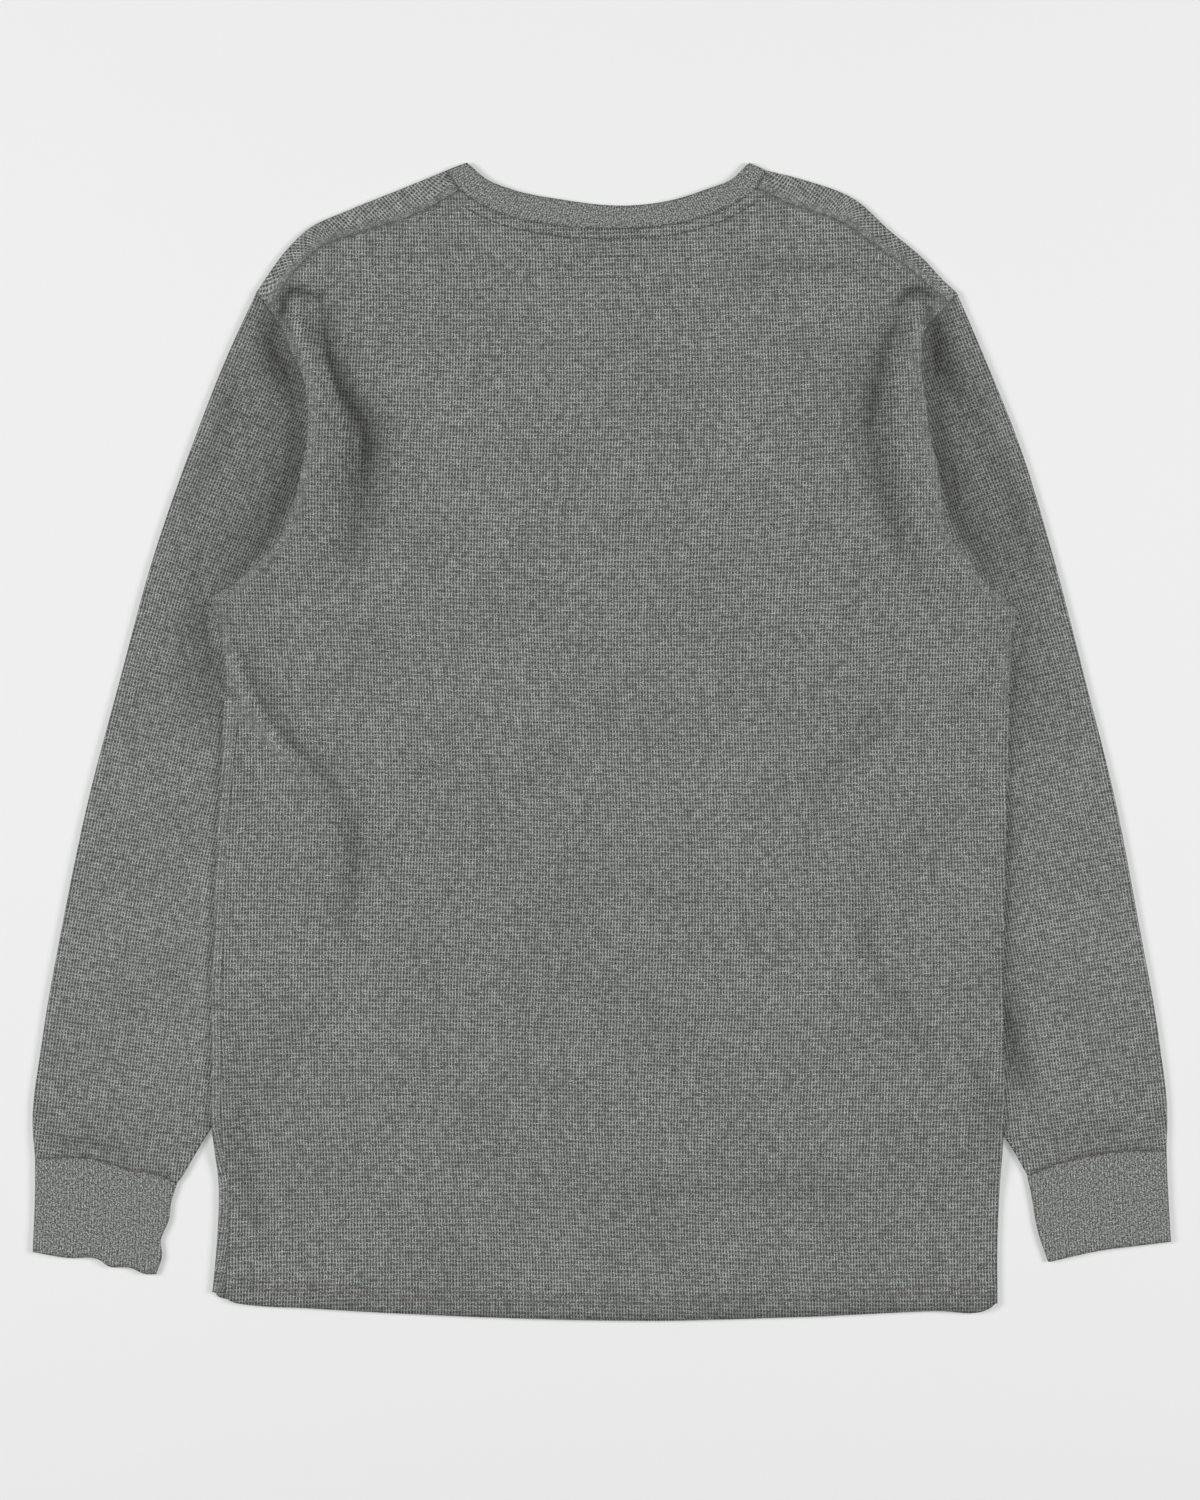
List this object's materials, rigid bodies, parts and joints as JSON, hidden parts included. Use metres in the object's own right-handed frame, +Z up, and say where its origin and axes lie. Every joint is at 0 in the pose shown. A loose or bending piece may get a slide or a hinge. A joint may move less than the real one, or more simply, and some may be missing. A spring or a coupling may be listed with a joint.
{
  "type": "thermal top",
  "caption": "Long-sleeved crew-neck thermal top in waffle knit, laid flat on its front with its back up, the sleeves lying down its sides and partly under the body.",
  "frame": {"origin": "middle of the top's outline, on the surface it lies on", "axes": "+Z up from that surface, through the flat cloth; +Y from the hem to the neck; +X to the wearer's right"},
  "size_m": [0.7636, 0.7768, 0.0092],
  "materials": {
    "back_panel": "heather grey waffle knit, matt",
    "front_panel": "heather grey waffle knit, matt",
    "neckband": "heather grey fine rib knit, matt",
    "sleeve_left": "heather grey waffle knit, matt",
    "sleeve_right": "heather grey waffle knit, matt",
    "cuff_left": "heather grey fine rib knit, matt",
    "cuff_right": "heather grey fine rib knit, matt"
  },
  "bodies": {
    "root": {"back_panel": "back_panel", "front_panel": "front_panel", "neckband": "neckband", "sleeve_left": "sleeve_left", "sleeve_right": "sleeve_right", "cuff_left": "cuff_left", "cuff_right": "cuff_right"}
  },
  "joints": []
}
